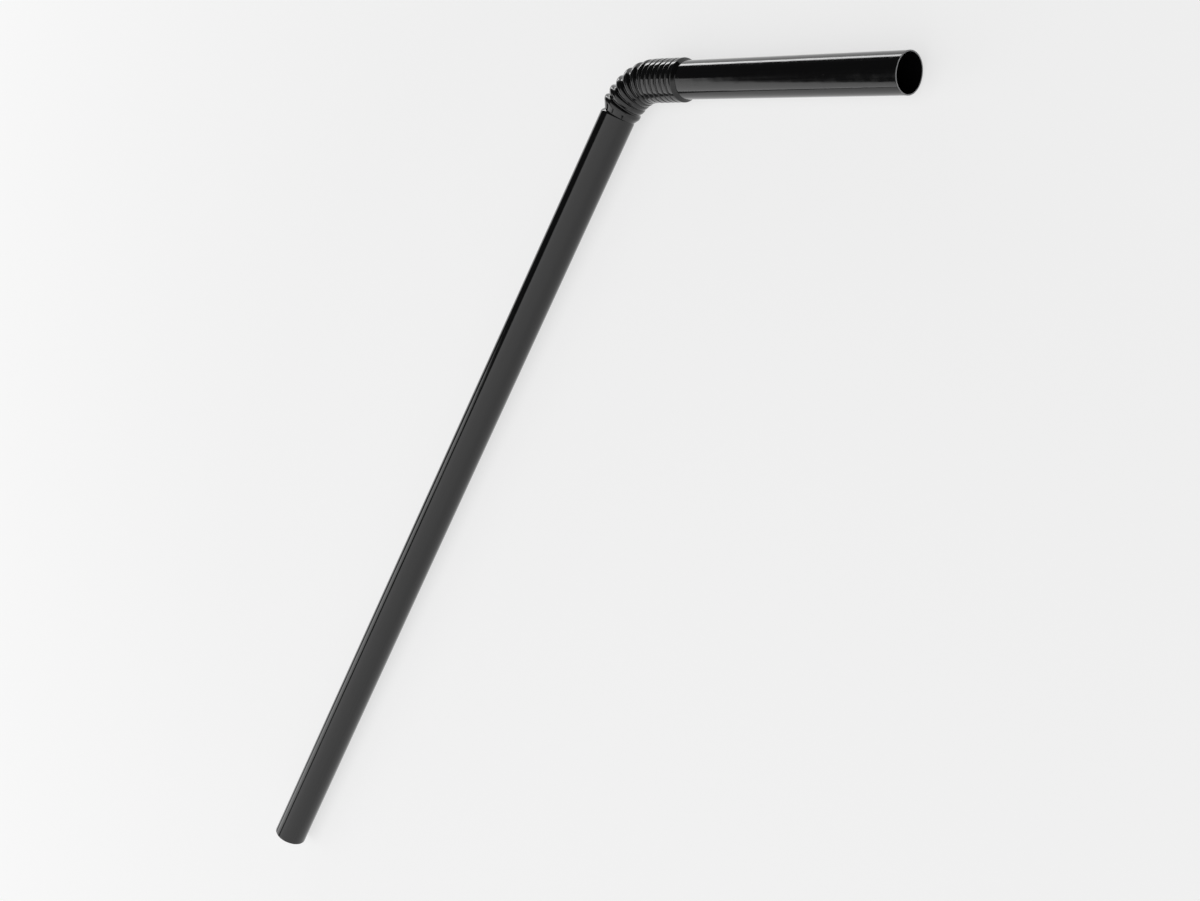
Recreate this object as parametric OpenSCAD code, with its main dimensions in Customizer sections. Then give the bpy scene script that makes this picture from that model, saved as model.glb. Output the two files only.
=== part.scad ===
// Flexible drinking straw: a plain tube with a bellows rolled into it near the mouth end.
// It lies on its side as it comes to rest, bent once, with the bend level.
// Millimetres, +Z up. The stem runs along X and the mouth end turns towards -Y.
// The origin is under the middle of the whole straw, on the surface that it lies on.

/* [Tube] */

// Outer diameter of the plain tube
tube_d = 6; // [4:0.5:12]

// Thickness of the wall, the same all along
wall = 0.2; // [0.12:0.01:0.3]

// Length of the plain stem, from its cut end to the bellows
stem_l = 150; // [80:1:220]

// Length of the plain mouth end, from the bellows to its cut end
mouth_l = 42; // [20:1:80]

/* [Bellows] */

// Number of folds
fold_n = 12; // [10:1:20]

// Distance from crest to crest where the folds are pushed shut
closed_pitch = 1.15; // [0.8:0.05:1.6]

// Height of the crests above the plain tube
crest_rise = 0.45; // [0.2:0.05:0.8]

// Breadth of the flat top of a crest, along the straw
crest_w = 0.5; // [0.25:0.05:0.6]

// Depth of the groove at each end of the bellows, below the plain tube
groove_d = 0.3; // [0.1:0.05:0.5]

// Slope of a fold's long flank, on the stem side, from the axis
stem_flank = 32; // [24:1:36]

// Slope of a fold's short flank, on the mouth side, from the axis
mouth_flank = 55; // [45:1:58]

// Slope of the shoulder where the plain tube dips into a groove, from the axis
shoulder = 45; // [30:1:60]

/* [Bend] */

// Angle by which the mouth end is turned away from the stem
bend = 70; // [0:1:90]

// Number of folds that share the bend, counted from the stem
bend_n = 6; // [5:1:9]

// Distance from crest to crest on the inside of the bend, where the folds tuck in
inner_pitch = 0.8; // [0.6:0.05:1.2]

/* [Hidden] */

$fn = 96;

tube_r = tube_d / 2;
crest_r = tube_r + crest_rise;
groove_r = tube_r - groove_d;

// every fold's body runs on inwards to this radius, inside its neighbours
core_r = 0.6 * tube_r;

// the hollow runs out past each cut end by this much
run_out = wall;

// crest to tube, across the groove at the stem and at the mouth end
shoulder_l = groove_d / tan(shoulder);
stem_gap = crest_w / 2 + (crest_r - groove_r) / tan(stem_flank) + shoulder_l;
mouth_gap = crest_w / 2 + (crest_r - groove_r) / tan(mouth_flank) + shoulder_l;

// Stations along the straw: 0 is the stem's shoulder, 1 to fold_n are the crests,
// and fold_n + 1 is the mouth end's shoulder. Joint j lies between stations j and j + 1.

// Turn at a joint: the bend is shared evenly, with half a share at its two ends
function turn(j) =
    j > bend_n ? 0 :
    j == 0 || j == bend_n ? bend / bend_n / 2 :
    bend / bend_n;

// Length of a joint on the axis: the folds tuck in on the inside of the bend and open outside
function joint_l(j) =
    j == 0 ? stem_gap :
    j == fold_n ? mouth_gap :
    max(closed_pitch, inner_pitch + 2 * crest_r * tan(turn(j) / 2));

// Heading of a station, and the way it points
function heading(i) = i == 0 ? 0 : heading(i - 1) + turn(i - 1);
function ahead(i) = [cos(heading(i)), -sin(heading(i)), 0];

// Place of a station: half of each joint lies along the heading on either side of it
function station(i) =
    i == 0 ? [0, 0, 0] :
    station(i - 1) + joint_l(i - 1) / 2 * (ahead(i - 1) + ahead(i));

// Extent of the straw on the surface, for its origin
mouth_end = station(fold_n + 1) + mouth_l * ahead(fold_n + 1);
crest_sides = [
    for (i = [1 : fold_n], s = [-1, 1])
        station(i).y + s * (crest_r * cos(heading(i)) + crest_w / 2 * sin(heading(i)))
];
x_mid = (mouth_end.x + tube_r * sin(bend) - stem_l) / 2;
y_low = min(min(crest_sides), mouth_end.y - tube_r * cos(bend));
y_mid = (y_low + max(crest_sides)) / 2;

// Puts its children at a station, with their Z along the straw
module at_station(i) {
    translate(station(i))
        rotate([90, 0, 90 - heading(i)])
            children();
}

// A length of plain tube as a full body, ending in a shoulder at Z = 0.
// It is drawn in by inset all round, and a drawn-in body runs out of the cut end.
module leg(length, inset) {
    r = tube_r - inset;
    core = core_r - inset;
    end = inset > 0 ? -length - run_out : -length;
    brow = -inset * tan(shoulder / 2);
    tip = brow + (r - core) / tan(shoulder);
    rotate_extrude()
        polygon([[0, end], [r, end], [r, brow], [core, tip], [0, tip]]);
}

// One fold as a full body with its crest at Z = 0, drawn in by inset all round
module fold(inset) {
    r = crest_r - inset;
    core = core_r - inset;
    low = inset * tan(stem_flank / 2) - crest_w / 2;
    high = crest_w / 2 - inset * tan(mouth_flank / 2);
    foot = low - (r - core) / tan(stem_flank);
    tip = high + (r - core) / tan(mouth_flank);
    rotate_extrude()
        polygon([[0, foot], [core, foot], [r, low], [r, high], [core, tip], [0, tip]]);
}

// The whole straw as a full body: its skin at no inset, its hollow at the wall's thickness
module body(inset) {
    at_station(0)
        leg(stem_l, inset);
    for (i = [1 : fold_n])
        at_station(i)
            fold(inset);
    at_station(fold_n + 1)
        mirror([0, 0, 1])
            leg(mouth_l, inset);
}

module straw() {
    color("#17171a")
        translate([-x_mid, -y_mid, crest_r])
            difference() {
                body(0);
                body(wall);
            }
}

straw();
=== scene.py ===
import bpy
import numpy as np
from mathutils import Matrix, Quaternion, Vector


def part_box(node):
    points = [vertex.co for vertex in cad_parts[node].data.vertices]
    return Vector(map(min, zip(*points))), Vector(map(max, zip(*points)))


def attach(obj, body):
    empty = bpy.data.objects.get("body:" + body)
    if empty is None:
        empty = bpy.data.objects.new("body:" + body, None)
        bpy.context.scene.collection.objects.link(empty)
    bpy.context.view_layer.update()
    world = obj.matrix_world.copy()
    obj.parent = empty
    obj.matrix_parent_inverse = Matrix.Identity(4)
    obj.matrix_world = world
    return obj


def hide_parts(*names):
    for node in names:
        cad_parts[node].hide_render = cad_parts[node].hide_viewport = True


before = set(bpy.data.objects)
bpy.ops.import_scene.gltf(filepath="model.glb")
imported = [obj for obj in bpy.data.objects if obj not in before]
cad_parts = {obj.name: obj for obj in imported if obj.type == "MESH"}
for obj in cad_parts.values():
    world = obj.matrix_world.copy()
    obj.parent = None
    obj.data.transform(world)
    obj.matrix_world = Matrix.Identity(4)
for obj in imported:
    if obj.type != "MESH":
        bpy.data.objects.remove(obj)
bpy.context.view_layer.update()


# The straw. One length of black polypropylene tube, drawn thin through a ring die and cut
# across with a blade. Twelve folds are rolled into the wall near the mouth end and pushed shut,
# and the bellows that they make is bent once to the side, where the creased film holds it.

# sizes in millimetres, slopes from the axis in radians, as the solid has them
tube_r = 3.0
wall = 0.2
stem_length = 150.0
mouth_length = 42.0
folds = 12
shut_pitch = 1.15
crest_r = 3.45
crest_breadth = 0.5
groove_depth = 0.3
long_flank = np.radians(32.0)
short_flank = np.radians(55.0)
shoulder = np.radians(45.0)
bend = np.radians(70.0)
bent_folds = 6
tucked_pitch = 0.8

# what the rolling leaves uneven: each fold lies a little off its place, its height and its level
place_spread = 0.022
height_spread = 0.012
level_spread = 0.025
uneven = np.random.default_rng(12)
crest_shift = uneven.normal(0.0, place_spread, folds)
crest_lift = uneven.normal(0.0, height_spread, folds)
crest_tilt = uneven.normal(0.0, level_spread, folds)
tilt_from = uneven.uniform(0.0, 2 * np.pi, folds)

# the bend pulls the first fold over, so that it shuts against the stem on the inside
first_pull = 0.38
crest_tilt[0] = first_pull
tilt_from[0] = np.pi

# the blade presses each cut end out of round, and slips along the tube as it goes across
stem_oval = 0.018
mouth_oval = 0.05
oval_phase = 0.7
blade_slip = 0.06
slip_phase = 0.6
slip_waver = 0.3

# the shut folds press one another's tops flat and broad
press_breadth = 0.34
pressed = press_breadth * (np.arange(folds) >= bent_folds)

# how far each kind of corner is rounded, along its two sides, in millimetres
softness = {"cut": 0.05, "brow": 0.35, "groove": 0.2, "open crest": 0.2, "shut crest": 0.1}

# points around the tube: t is 0 on the inside of the bend and runs over the top
around = 120
t = np.linspace(0.0, 2 * np.pi, around, endpoint=False)

# The axis. Joint j runs from station j to station j + 1. Station 0 is the stem's shoulder,
# then comes one for each crest, and the last is the mouth end's shoulder.
drop = crest_r - tube_r + groove_depth
turn = np.where(np.arange(folds + 1) > bent_folds, 0.0, bend / bent_folds)
turn[[0, bent_folds]] /= 2
gap = np.maximum(shut_pitch, tucked_pitch + 2 * crest_r * np.tan(turn / 2))
end_gap = crest_breadth / 2 + groove_depth / np.tan(shoulder)
gap[0] = end_gap + drop / np.tan(long_flank)
gap[-1] = end_gap + drop / np.tan(short_flank)
heading = np.concatenate([[0.0], np.cumsum(turn)])
level = np.zeros(folds + 2)
ahead = np.stack([np.cos(heading), -np.sin(heading), level], -1)
inwards = np.stack([-np.sin(heading), -np.cos(heading), level], -1)
upwards = np.array([0.0, 0.0, 1.0])
half_steps = gap[:, None] / 2 * (ahead[:-1] + ahead[1:])
station = np.concatenate([np.zeros((1, 3)), np.cumsum(half_steps, 0)])
reach = np.concatenate([[0.0], np.cumsum(gap)])


def wall_rings(inset):
    """Corner rings of one face of the wall, from the stem's cut end to the mouth's.

    Gives each ring's station, and its way along and its radius for each angle t around the tube.
    A groove lies where the short flank of one fold meets the long flank of the next. Its depth
    below the crests is the pitch at that side of the tube, less the crest's breadth, over the
    sum of the two flanks' run per unit of depth. The pitch at radius r is the joint's length
    less 2 r cos(t) tan(turn / 2), so it is short inside the bend and long outside. The two end
    grooves lie in the same way where a flank meets the shoulder of a plain length. A cut end's
    radius gains a cosine of twice the angle, and its place along the tube the sine of the angle
    and a weaker sine of three times the angle.
    """
    ones = np.ones(around)
    crest, tube = crest_r - inset, tube_r - inset
    run_long, run_short, run_brow = 1 / np.tan([long_flank, short_flank, shoulder])
    half_top = ((crest_breadth + pressed) / 2)[:, None]
    low = inset * np.tan(long_flank / 2) - half_top
    high = half_top - inset * np.tan(short_flank / 2)
    brow = -inset * np.tan(shoulder / 2)
    lean = np.tan(turn / 2)[:, None] * np.cos(t)
    shift = crest_shift[:, None] + crest_tilt[:, None] * np.cos(t - tilt_from[:, None])
    top = crest + crest_lift[:, None] * ones

    pitch = gap[1:-1, None] - 2 * crest * lean[1:-1] + np.diff(shift, axis=0)
    depth = (pitch - high[:-1] + low[1:]) / (run_short + run_long - 2 * lean[1:-1])
    stem_dip = gap[0] + shift[0] - brow + low[0] - (crest - tube) * run_long - 2 * tube * lean[0]
    stem_dip = stem_dip / (run_brow + run_long - 2 * lean[0])
    mouth_dip = gap[-1] - shift[-1] - high[-1] - brow - (crest - tube) * run_short
    mouth_dip = mouth_dip / (run_short + run_brow)

    groove_along = high + np.vstack([depth, crest - tube + mouth_dip]) * run_short
    groove_r = np.vstack([crest - depth, tube - mouth_dip])
    fold_along = np.stack([low + shift, high + shift, groove_along + shift], 1)
    fold_radius = np.stack([top, top, groove_r], 1)

    stem_along = [-stem_length * ones, brow * ones, brow + stem_dip * run_brow]
    stem_radius = [tube * ones, tube * ones, tube - stem_dip]
    mouth_along = [-brow * ones, mouth_length * ones]
    mouth_radius = [tube * ones, tube * ones]
    at = np.concatenate([[0, 0, 0], np.repeat(np.arange(1, folds + 1), 3), [folds + 1] * 2])
    along = np.concatenate([stem_along, fold_along.reshape(-1, around), mouth_along])
    radius = np.concatenate([stem_radius, fold_radius.reshape(-1, around), mouth_radius])

    oval = np.zeros((len(at), 1))
    oval[[0, 1, -2, -1], 0] = stem_oval, stem_oval / 2, mouth_oval / 3, mouth_oval
    slip = np.zeros((len(at), 1))
    slip[[0, -1], 0] = blade_slip, -blade_slip
    radius = radius + oval * np.cos(2 * t - oval_phase)
    along = along + slip * (np.sin(t + slip_phase) + slip_waver * np.sin(3 * t))
    return at, along, radius


def ring_points(at, along, radius):
    """Points of the rings: station + along * ahead + radius * (cos t * inwards + sin t * up).

    A fourth number is the distance along the axis, for patterns that follow the drawing.
    """
    spoke = np.cos(t)[:, None] * inwards[at][:, None] + np.sin(t)[:, None] * upwards
    axis_place = station[at][:, None] + along[..., None] * ahead[at][:, None]
    way = (reach[at][:, None] + along)[..., None]
    return np.concatenate([axis_place + radius[..., None] * spoke, way], -1)


def rounded(rings, soft, steps):
    """Each ring of a closed row of rings becomes a few: a curve that rounds its corner.

    The curve is the quadratic Bezier whose middle point is the corner, and whose ends lie soft
    millimetres along its two sides, or not quite half way where a side is short.
    """
    back, on = np.roll(rings, 1, 0) - rings, np.roll(rings, -1, 0) - rings
    back_l = np.linalg.norm(back[..., :3], axis=-1, keepdims=True)
    on_l = np.linalg.norm(on[..., :3], axis=-1, keepdims=True)
    not_quite_half = 0.47
    reach_in = np.minimum(soft[:, None, None], not_quite_half * np.minimum(back_l, on_l))
    first, last = rings + reach_in * back / back_l, rings + reach_in * on / on_l
    q = np.linspace(0.0, 1.0, steps)[None, :, None, None]
    curve = (1 - q) ** 2 * first[:, None] + 2 * q * (1 - q) * rings[:, None] + q**2 * last[:, None]
    return curve.reshape(-1, rings.shape[1], rings.shape[2])


# The closed row of rings: along the outside to the mouth, over its cut edge, back along the
# inside to the stem's end, and over that edge to the start.
outside, inside = wall_rings(0.0), wall_rings(wall)
rings = np.concatenate([ring_points(*outside), ring_points(*inside)[::-1]])
kinds = ["cut", "brow", "groove"] + ["open crest", "open crest", "groove"] * bent_folds
kinds += ["shut crest", "shut crest", "groove"] * (folds - bent_folds) + ["brow", "cut"]
kinds = np.array(kinds + kinds[::-1])
corner_rows = 5
rows = rounded(rings, np.array([softness[kind] for kind in kinds]), corner_rows)

# marks for the finish: a crease along each corner of a crest, and the two cut faces, which run
# from the middle of one corner of the edge to the middle of the next
crease_fade = np.array([0.0, 0.6, 1.0, 0.6, 0.0])
crease = np.outer(np.char.endswith(kinds, "crest"), crease_fade).ravel()
ring_no, step_no = np.divmod(np.arange(len(rows)), corner_rows)
mouth_edge = len(outside[0]) - 1
opening_half = np.isin(ring_no, [mouth_edge, len(kinds) - 1]) & (step_no >= corner_rows // 2)
closing_half = np.isin(ring_no, [mouth_edge + 1, 0]) & (step_no <= corner_rows // 2)
cut_face = (opening_half | closing_half).astype(float)

# more rows along the two plain lengths, outside and inside, by straight shares between rows;
# the first and last lie close by the corners, so that the gloss runs straight up to them
row_step = 2.4
row_near = 0.08
legs = [(0, stem_length), (mouth_edge - 1, mouth_length)]
legs += [(mouth_edge + 1, mouth_length), (len(kinds) - 2, stem_length)]
where = [np.arange(len(rows))]
for ring, length in legs:
    steps = np.arange(row_step, length - row_step / 2, row_step)
    steps = np.concatenate([[row_near], steps, [length - row_near]])
    where.append(corner_rows * (ring + 1) - 1 + steps / length)
where = np.sort(np.concatenate(where))
lower = np.minimum(where.astype(int), len(rows) - 1)
upper = np.minimum(lower + 1, len(rows) - 1)
share = where - lower
grid = rows[lower] + share[:, None, None] * (rows[upper] - rows[lower])
crease, cut_face = crease[lower] * (share == 0), cut_face[lower] * (share == 0)

# The place: the stem's end and the widest crest touch the solid's box, and the crests rest at 0.
metre = 1000.0
box_low, box_high = (np.array(corner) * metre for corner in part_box("straw"))
crest_side = crest_r * np.cos(heading) + crest_breadth / 2 * np.sin(heading)
widest = (station[1:-1, 1] + crest_side[1:-1]).max()
seat = [box_low[0] + stem_length, box_high[1] - widest, box_low[2] + crest_r]
points = (grid[..., :3] + seat).reshape(-1, 3) / metre

count = len(grid)
row_no, col_no = np.meshgrid(np.arange(count), np.arange(around), indexing="ij")
next_row, next_col = (row_no + 1) % count, (col_no + 1) % around
corners = [row_no * around + col_no, next_row * around + col_no]
corners += [next_row * around + next_col, row_no * around + next_col]
quads = np.stack(corners, -1).reshape(-1, 4)

straw_mesh = bpy.data.meshes.new("straw_skin")
straw_mesh.from_pydata(points, [], quads)
straw_mesh.polygons.foreach_set("use_smooth", np.ones(len(quads), bool))

# drawn: the angle around as cos and sin, and the way along in tube radii, for the finish
drawn = np.stack(np.broadcast_arrays(np.cos(t), np.sin(t), grid[..., 3] / tube_r), -1)
marks = straw_mesh.attributes.new("drawn", "FLOAT_VECTOR", "POINT")
marks.data.foreach_set("vector", drawn.astype(np.float32).ravel())
for name, mark in (("crease", crease), ("cut_face", cut_face)):
    marks = straw_mesh.attributes.new(name, "FLOAT", "POINT")
    marks.data.foreach_set("value", np.repeat(mark, around).astype(np.float32))
straw_mesh.update()

straw = bpy.data.objects.new("straw_skin", straw_mesh)
bpy.context.scene.collection.objects.link(straw)


def feed(tree, socket, value):
    """Sets a socket to a number or colour, or links it to another node's output."""
    if isinstance(value, bpy.types.NodeSocket):
        tree.links.new(value, socket)
    else:
        socket.default_value = value


def add_node(tree, kind, **values):
    """A shader node with its inputs fed by name, with _ for a space."""
    node = tree.nodes.new(kind)
    for name, value in values.items():
        feed(tree, node.inputs[name.replace("_", " ")], value)
    return node


def figure(tree, operation, *values):
    """The result of a Math node: the operation on numbers or other nodes' outputs, in order."""
    node = tree.nodes.new("ShaderNodeMath")
    node.operation = operation
    for socket, value in zip(node.inputs, values):
        feed(tree, socket, value)
    return node.outputs["Value"]


def spread(tree, value, first, last, at_first, at_last):
    """A Map Range: at_first up to the first value, at_last from the last value on, even between."""
    ends = {"From_Min": first, "From_Max": last, "To_Min": at_first, "To_Max": at_last}
    return add_node(tree, "ShaderNodeMapRange", Value=value, **ends).outputs["Result"]


def blended(tree, share, first, second):
    """A colour mix: the first colour where the share is 0, the second where it is 1."""
    mix = tree.nodes.new("ShaderNodeMix")
    mix.data_type = "RGBA"
    for name, value in (("Factor", share), ("A", first), ("B", second)):
        feed(tree, mix.inputs[name], value)
    return mix.outputs["Result"]


def mark_of(tree, name):
    """A node that reads one of the mesh's marks."""
    node = tree.nodes.new("ShaderNodeAttribute")
    node.attribute_name = name
    return node


# The finish: pitch black and glossy, with faint lines along it from the die, soft waves where
# the tube cooled, a dull haze from handling and a few specks of dust. The creases of the folds
# are duller, and the blade leaves the cut faces rough. The cut faces' pale grey is a painted
# sheen, standing in for the light that the rough cut catches.
black_low = (0.0018, 0.0018, 0.0020, 1.0)
black_high = (0.0042, 0.0042, 0.0045, 1.0)
crease_grey = (0.010, 0.010, 0.0105, 1.0)
# painted sheen: the cut faces' pale grey stands in for the light that the rough cut catches
cut_sheen_grey = (0.28, 0.28, 0.285, 1.0)
dust_grey = (0.035, 0.034, 0.032, 1.0)

black_gloss = bpy.data.materials.new("black_polypropylene")
black_gloss.use_nodes = True
tree = black_gloss.node_tree
tree.nodes.clear()

drawn_way = mark_of(tree, "drawn").outputs["Vector"]
stretched = add_node(tree, "ShaderNodeMapping", Vector=drawn_way, Scale=(1.0, 1.0, 0.02))
die_lines = add_node(
    tree, "ShaderNodeTexNoise",
    Vector=stretched.outputs["Vector"], Scale=9.0, Detail=4.0, Roughness=0.6,
).outputs["Fac"]
waves = add_node(
    tree, "ShaderNodeTexNoise", Vector=drawn_way, Scale=0.7, Detail=2.0, Roughness=0.45
).outputs["Fac"]
haze = add_node(
    tree, "ShaderNodeTexNoise", Vector=drawn_way, Scale=1.6, Detail=5.0, Roughness=0.65
).outputs["Fac"]
crease_mark = mark_of(tree, "crease").outputs["Fac"]
cut_mark = mark_of(tree, "cut_face").outputs["Fac"]

# dust: the middles of about one in eight of the cells that fill the space about the straw
here = add_node(tree, "ShaderNodeTexCoord").outputs["Object"]
cells = add_node(tree, "ShaderNodeTexVoronoi", Vector=here, Scale=420.0, Randomness=1.0)
cell_chance = add_node(tree, "ShaderNodeSeparateColor", Color=cells.outputs["Color"])
speck = spread(tree, cells.outputs["Distance"], first=0.022, last=0.05, at_first=1.0, at_last=0.0)
few = spread(tree, cell_chance.outputs["Red"], first=0.86, last=0.9, at_first=0.0, at_last=1.0)
dust = figure(tree, "MULTIPLY", speck, few)

colour = blended(tree, die_lines, black_low, black_high)
colour = blended(tree, crease_mark, colour, crease_grey)
# the cut faces take the painted sheen's pale grey
colour = blended(tree, cut_mark, colour, cut_sheen_grey)
colour = blended(tree, dust, colour, dust_grey)

# dullness: the shader's roughness, and what the creases and the cut faces add to it
crease_dull = 0.08
cut_dull = 0.4
line_dull = spread(tree, die_lines, first=0.3, last=0.7, at_first=0.06, at_last=0.12)
haze_dull = spread(tree, haze, first=0.5, last=0.75, at_first=0.0, at_last=0.08)
dullness = figure(tree, "ADD", line_dull, haze_dull)
dullness = figure(tree, "MULTIPLY_ADD", crease_mark, crease_dull, dullness)
dullness = figure(tree, "MULTIPLY_ADD", cut_mark, cut_dull, dullness)

# heights of the waves and of the die's lines, in metres
wave_height = 0.00002
line_height = 0.000003
wave_bump = add_node(tree, "ShaderNodeBump", Strength=1.0, Distance=wave_height, Height=waves)
line_bump = add_node(
    tree, "ShaderNodeBump",
    Strength=1.0, Distance=line_height, Height=die_lines, Normal=wave_bump.outputs["Normal"],
)
gloss = add_node(
    tree, "ShaderNodeBsdfPrincipled",
    Base_Color=colour, Roughness=dullness, IOR=1.52, Normal=line_bump.outputs["Normal"],
)
add_node(tree, "ShaderNodeOutputMaterial", Surface=gloss.outputs["BSDF"])

straw_mesh.materials.append(black_gloss)
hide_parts("straw")
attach(straw, "root")


# The surface that the straw lies on: a plain white table top, matt, with nothing on it.
# It takes the straw's soft shadow, fades to pure white further off, and shows white in the gloss.
floor_half = 4.0
floor_mesh = bpy.data.meshes.new("table_top")
floor_corners = np.array([[-1, -1, 0], [1, -1, 0], [1, 1, 0], [-1, 1, 0]]) * floor_half
floor_mesh.from_pydata(floor_corners, [], [[0, 1, 2, 3]])
floor = bpy.data.objects.new("table_top", floor_mesh)
bpy.context.scene.collection.objects.link(floor)

matt_white = bpy.data.materials.new("matt_white")
matt_white.use_nodes = True
tree = matt_white.node_tree
tree.nodes.clear()
matt = add_node(tree, "ShaderNodeBsdfDiffuse", Color=(0.86, 0.86, 0.86, 1.0))
white = add_node(tree, "ShaderNodeEmission", Color=(1.0, 1.0, 1.0, 1.0), Strength=1.0)
ray = add_node(tree, "ShaderNodeLightPath").outputs
here = add_node(tree, "ShaderNodeTexCoord").outputs["Object"]
away = add_node(tree, "ShaderNodeVectorMath", Vector=here)
away.operation = "LENGTH"
fade = spread(tree, away.outputs["Value"], first=0.1, last=0.6, at_first=0.68, at_last=1.0)
seen = figure(tree, "MULTIPLY", ray["Is Camera Ray"], fade)
seen = figure(tree, "MAXIMUM", seen, ray["Is Glossy Ray"])
seen = figure(tree, "MAXIMUM", seen, ray["Is Transmission Ray"])
pale = tree.nodes.new("ShaderNodeMixShader")
for socket, value in zip(pale.inputs, (seen, matt.outputs["BSDF"], white.outputs["Emission"])):
    feed(tree, socket, value)
add_node(tree, "ShaderNodeOutputMaterial", Surface=pale.outputs["Shader"])
floor_mesh.materials.append(matt_white)


# The light: a broad canopy that leans over the straw from the front, a screen off the stem's
# end, rolled so that its edge slants along the mouth end, and a slim box low behind the bend,
# for the bright line there. Each is cloth lit from behind. The dim room has a low white wall.
def soft_box(name, place, aim, roll, breadth, height, lower, upper, rim):
    """A rectangle of light, its radiance even across and shaded from lower to upper.

    It faces the aim, rolled by some degrees about that line, and fades to nothing over the
    given share of its breadth and height next to each edge. The lamp's power is pi times its
    area, at which a strength of 1 is a radiance of 1.
    """
    lamp = bpy.data.lights.new(name, "AREA")
    lamp.shape = "RECTANGLE"
    lamp.size, lamp.size_y = breadth, height
    lamp.energy = np.pi * breadth * height
    lamp.use_nodes = True
    tree = lamp.node_tree
    tree.nodes.clear()
    spot = add_node(tree, "ShaderNodeNewGeometry").outputs["Parametric"]
    spot = add_node(tree, "ShaderNodeSeparateXYZ", Vector=spot).outputs
    radiance = spread(tree, spot["Y"], first=0.0, last=1.0, at_first=lower, at_last=upper)
    for way in ("X", "Y"):
        off = figure(tree, "ABSOLUTE", figure(tree, "SUBTRACT", spot[way], 0.5))
        lit = spread(tree, off, first=0.5 - rim, last=0.5, at_first=1.0, at_last=0.0)
        radiance = figure(tree, "MULTIPLY", radiance, lit)
    glow = add_node(tree, "ShaderNodeEmission", Strength=radiance)
    add_node(tree, "ShaderNodeOutputLight", Surface=glow.outputs["Emission"])
    box = bpy.data.objects.new(name, lamp)
    box.location = place
    facing = (Vector(aim) - Vector(place)).to_track_quat("-Z", "Y")
    box.rotation_euler = (facing @ Quaternion((0.0, 0.0, 1.0), np.radians(roll))).to_euler()
    box.visible_camera = False
    bpy.context.scene.collection.objects.link(box)


soft_box(
    "canopy", place=(-0.7, -0.28, 0.55), aim=(-0.7, 0.04, 0.0), roll=0.0,
    breadth=1.9, height=2.1, lower=0.95, upper=1.4, rim=0.08,
)
soft_box(
    "side_screen", place=(-0.496, 0.451, 0.285), aim=(0.13, 0.045, 0.057), roll=-37.0,
    breadth=0.94, height=0.394, lower=2.0, upper=1.4, rim=0.06,
)
soft_box(
    "line_box", place=(0.36, 0.523, 0.065), aim=(0.079, -0.007, 0.065), roll=0.0,
    breadth=0.6, height=0.13, lower=6.5, upper=6.5, rim=0.2,
)

room = bpy.data.worlds.new("room")
room.use_nodes = True
tree = room.node_tree
tree.nodes.clear()
dim = add_node(tree, "ShaderNodeBackground", Color=(1.0, 1.0, 1.0, 1.0), Strength=0.04)
bright = add_node(tree, "ShaderNodeBackground", Color=(1.0, 1.0, 1.0, 1.0), Strength=1.0)
ray = add_node(tree, "ShaderNodeLightPath").outputs
look = add_node(tree, "ShaderNodeTexCoord").outputs["Generated"]
rise = add_node(tree, "ShaderNodeSeparateXYZ", Vector=look).outputs["Z"]
low_wall = spread(tree, rise, first=0.03, last=0.08, at_first=1.0, at_last=0.0)
mirrored = figure(tree, "MAXIMUM", ray["Is Glossy Ray"], ray["Is Transmission Ray"])
seen = figure(tree, "MULTIPLY", mirrored, low_wall)
seen = figure(tree, "MAXIMUM", seen, ray["Is Camera Ray"])
sky = tree.nodes.new("ShaderNodeMixShader")
both = dim.outputs["Background"], bright.outputs["Background"]
for socket, value in zip(sky.inputs, (seen, *both)):
    feed(tree, socket, value)
add_node(tree, "ShaderNodeOutputWorld", Surface=sky.outputs["Shader"])
bpy.context.scene.world = room


# The camera stands where the photograph was taken from, as the straw lies here: over the mouth
# end, with the stem running away to the lower left of the picture.
eye = Vector((0.0786, -0.1568, 0.1585))
looked_at = Vector((0.0146, -0.0054, 0.0034))
picture_up = Vector((0.9028, 0.3364, 0.2680))
lens = bpy.data.cameras.new("camera")
lens.sensor_fit = "HORIZONTAL"
lens.sensor_width = 36.0
lens.lens = 42.5
lens.clip_start = 0.01
camera = bpy.data.objects.new("camera", lens)
forward = (looked_at - eye).normalized()
picture_right = forward.cross(picture_up).normalized()
axes = Matrix((picture_right, picture_right.cross(forward), -forward)).transposed()
camera.matrix_world = Matrix.Translation(eye) @ axes.to_4x4()
bpy.context.scene.collection.objects.link(camera)
bpy.context.scene.camera = camera

bpy.context.scene.view_settings.view_transform = "Standard"
